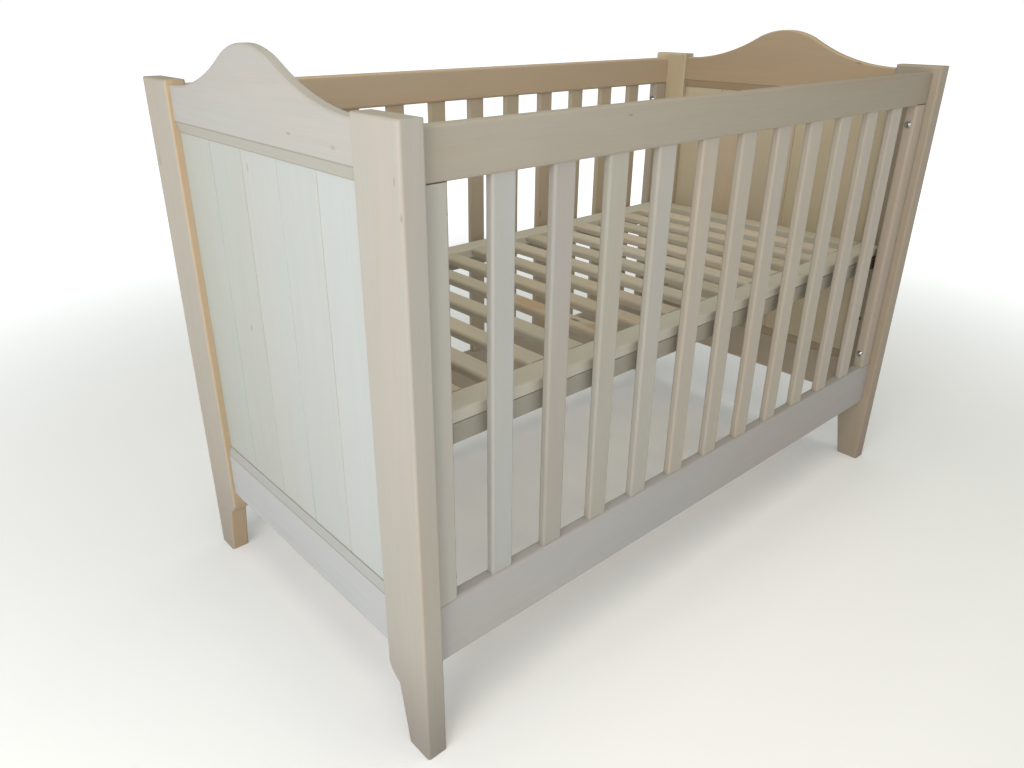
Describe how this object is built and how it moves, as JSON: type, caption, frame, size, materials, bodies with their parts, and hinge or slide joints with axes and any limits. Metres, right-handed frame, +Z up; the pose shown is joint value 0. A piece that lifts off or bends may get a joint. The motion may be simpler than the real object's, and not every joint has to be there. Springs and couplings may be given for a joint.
{
  "type": "baby crib",
  "caption": "Timber baby crib with arched panelled ends, slatted sides and a slatted mattress base that rests on corner brackets and lifts out.",
  "frame": {"origin": "on the floor, below the middle of the crib", "axes": "+X along the crib towards the right end, +Y across it towards the back side, +Z up"},
  "size_m": [1.275, 0.678, 0.9135],
  "materials": {
    "post_timber": "pale unfinished pine, sanded, vertical grain",
    "end_rail_timber": "pale unfinished pine, sanded, grain across the end",
    "board_timber": "pale unfinished pine boards, vertical grain, small knots",
    "side_timber": "pale unfinished pine, sanded, grain along the piece",
    "slat_timber": "pale unfinished pine, eased edges, vertical grain",
    "base_timber": "plain pine, slightly warmer, with small knots",
    "bracket_steel": "satin black",
    "bolt_steel": "bright zinc plated",
    "screw_steel": "dull zinc plated",
    "insert_brass": "turned brass"
  },
  "bodies": {
    "crib_frame": {"arch_rail_left": "end_rail_timber", "arch_rail_right": "end_rail_timber", "board_left_1": "board_timber", "board_left_2": "board_timber", "board_left_3": "board_timber", "board_left_4": "board_timber", "board_left_5": "board_timber", "board_right_1": "board_timber", "board_right_2": "board_timber", "board_right_3": "board_timber", "board_right_4": "board_timber", "board_right_5": "board_timber", "bracket_bolts": "bolt_steel", "end_rail_left": "end_rail_timber", "end_rail_right": "end_rail_timber", "post_left_back": "post_timber", "post_left_front": "post_timber", "post_right_back": "post_timber", "post_right_front": "post_timber", "side_bolts": "bolt_steel", "side_low_rail_back": "side_timber", "side_low_rail_front": "side_timber", "side_top_rail_back": "side_timber", "side_top_rail_front": "side_timber", "slat_back_01": "slat_timber", "slat_back_02": "slat_timber", "slat_back_03": "slat_timber", "slat_back_04": "slat_timber", "slat_back_05": "slat_timber", "slat_back_06": "slat_timber", "slat_back_07": "slat_timber", "slat_back_08": "slat_timber", "slat_back_09": "slat_timber", "slat_back_10": "slat_timber", "slat_back_11": "slat_timber", "slat_front_01": "slat_timber", "slat_front_02": "slat_timber", "slat_front_03": "slat_timber", "slat_front_04": "slat_timber", "slat_front_05": "slat_timber", "slat_front_06": "slat_timber", "slat_front_07": "slat_timber", "slat_front_08": "slat_timber", "slat_front_09": "slat_timber", "slat_front_10": "slat_timber", "slat_front_11": "slat_timber", "stile_left_back": "side_timber", "stile_left_front": "side_timber", "stile_right_back": "side_timber", "stile_right_front": "side_timber", "support_brackets": "bracket_steel", "threaded_inserts": "insert_brass"},
    "mattress_base": {"base_batten_back": "base_timber", "base_batten_front": "base_timber", "base_end_left": "base_timber", "base_end_right": "base_timber", "base_rail_back": "base_timber", "base_rail_front": "base_timber", "base_screws": "screw_steel", "base_slats": "base_timber"}
  },
  "joints": [
    {"name": "base_lift", "type": "slide", "parent": "crib_frame", "child": "mattress_base", "axis": [0, 0, 1], "range_m": [0, 0.5]}
  ]
}
